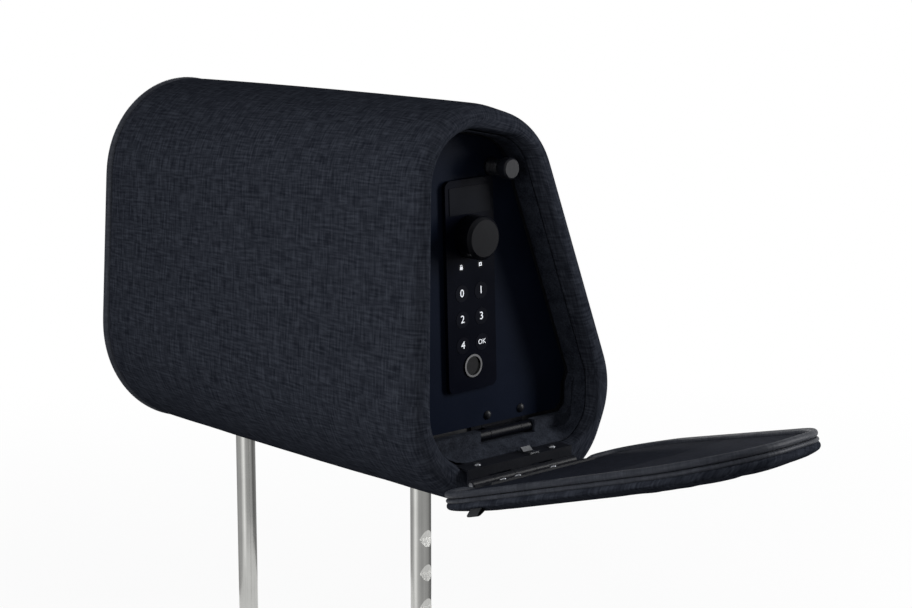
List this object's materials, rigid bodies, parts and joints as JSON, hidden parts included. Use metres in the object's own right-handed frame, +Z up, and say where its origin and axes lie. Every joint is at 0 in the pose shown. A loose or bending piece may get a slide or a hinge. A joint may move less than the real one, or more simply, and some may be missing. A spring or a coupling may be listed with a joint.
{
  "type": "headrest safe",
  "caption": "Padded headrest on steel posts whose side flap folds down to show a steel lock box with a hinged door, keypad, fingerprint sensor and turning knob.",
  "frame": {"origin": "midway between the axes of the two posts, at the height where they leave the underside", "axes": "+X along the headrest towards the lock end, -Y towards the face the head leans on, +Z up along the posts"},
  "size_m": [0.5018, 0.164, 0.3856],
  "materials": {
    "cover_fabric": "matte",
    "piping_fabric": "matte",
    "felt": "matte",
    "trim_moulding": "matte",
    "foam": "matte",
    "webbing": "matte",
    "hard_board": "matte",
    "nickel": "satin",
    "zinc": "satin",
    "spring_steel": "polished",
    "hinge_steel": "satin",
    "box_steel": "satin",
    "door_steel": "satin",
    "bracket_steel": "satin",
    "dark_hinge": "satin",
    "seal_rubber": "matte",
    "mat_felt": "matte",
    "panel_black": "gloss",
    "label_black": "gloss",
    "key_black": "gloss",
    "knob_black": "satin",
    "grip_black": "satin",
    "lamp_lens": "gloss",
    "ring_chrome": "polished",
    "sensor_glass": "polished",
    "housing_black": "matte",
    "board_green": "satin",
    "cell_blue": "satin",
    "coil_brass": "satin",
    "bar_steel": "satin"
  },
  "bodies": {
    "body": {"cover": "cover_fabric", "foam_padding": "foam", "end_board": "hard_board", "end_piping": "piping_fabric", "end_cushion": "cover_fabric", "post_left": "nickel", "post_right": "nickel", "post_bracket": "bracket_steel", "post_washers": "zinc", "post_nuts": "zinc", "bracket_bolts": "zinc", "safe_box": "box_steel", "door_frame": "box_steel", "door_seal": "seal_rubber", "floor_mat": "mat_felt", "recess_trim": "trim_moulding", "door_hinge_fixed_leaf": "hinge_steel", "door_hinge_pin": "zinc", "flap_hinge_body_leaf": "dark_hinge", "flap_hinge_pin": "zinc", "body_leaf_rivets": "zinc", "stop_clip": "spring_steel"},
    "door": {"door_plate": "door_steel", "door_hinge_leaf": "hinge_steel", "door_rivets": "grip_black", "pull_knob": "grip_black", "lock_faceplate": "panel_black", "label_plate": "label_black", "status_lamps": "lamp_lens", "sensor_ring": "ring_chrome", "sensor_window": "sensor_glass", "lock_housing": "housing_black", "housing_screws": "zinc", "circuit_board": "board_green", "battery_cells": "cell_blue", "battery_tray": "housing_black", "lock_solenoid": "coil_brass"},
    "knob_body": {"knob": "knob_black", "knob_spindle": "bar_steel", "knob_cam": "bar_steel"},
    "bar_body": {"locking_bar": "bar_steel"},
    "key_0_body": {"key_0": "key_black"},
    "key_1_body": {"key_1": "key_black"},
    "key_2_body": {"key_2": "key_black"},
    "key_3_body": {"key_3": "key_black"},
    "key_4_body": {"key_4": "key_black"},
    "key_ok_body": {"key_ok": "key_black"},
    "flap": {"flap_board": "hard_board", "flap_lining": "felt", "flap_bead": "piping_fabric", "flap_piping": "piping_fabric", "flap_cushion": "cover_fabric", "flap_hinge_leaf": "dark_hinge", "flap_rivets": "zinc", "flap_pull_tab": "webbing"}
  },
  "joints": [
    {"name": "flap_hinge", "type": "hinge", "parent": "body", "child": "flap", "pos_m": [0.15, 0.016, 0.0164], "axis": [0, -1, 0], "range_deg": [0, 73.5]},
    {"name": "door_hinge", "type": "hinge", "parent": "body", "child": "door", "pos_m": [0.1245, 0.025, 0.034], "axis": [0, -1, 0], "range_deg": [-68, 0]},
    {"name": "knob_turn", "type": "hinge", "parent": "door", "child": "knob_body", "pos_m": [0.13, -0.00001, 0.14689], "axis": [1, 0, 0], "range_deg": [0, 90]},
    {"name": "bar_slide", "type": "slide", "parent": "door", "child": "bar_body", "axis": [0, -1, 0], "range_m": [0, 0.007]},
    {"name": "key_0_press", "type": "slide", "parent": "door", "child": "key_0_body", "axis": [-1, 0, 0], "range_m": [0, 0.0008], "stiffness_N_per_m": 400, "springref_m": -0.0004},
    {"name": "key_1_press", "type": "slide", "parent": "door", "child": "key_1_body", "axis": [-1, 0, 0], "range_m": [0, 0.0008], "stiffness_N_per_m": 400, "springref_m": -0.0004},
    {"name": "key_2_press", "type": "slide", "parent": "door", "child": "key_2_body", "axis": [-1, 0, 0], "range_m": [0, 0.0008], "stiffness_N_per_m": 400, "springref_m": -0.0004},
    {"name": "key_3_press", "type": "slide", "parent": "door", "child": "key_3_body", "axis": [-1, 0, 0], "range_m": [0, 0.0008], "stiffness_N_per_m": 400, "springref_m": -0.0004},
    {"name": "key_4_press", "type": "slide", "parent": "door", "child": "key_4_body", "axis": [-1, 0, 0], "range_m": [0, 0.0008], "stiffness_N_per_m": 400, "springref_m": -0.0004},
    {"name": "key_ok_press", "type": "slide", "parent": "door", "child": "key_ok_body", "axis": [-1, 0, 0], "range_m": [0, 0.0008], "stiffness_N_per_m": 400, "springref_m": -0.0004}
  ],
  "couplings": [
    {"joint": "knob_turn", "follows": "bar_slide", "rad_per_m": 224.39}
  ]
}
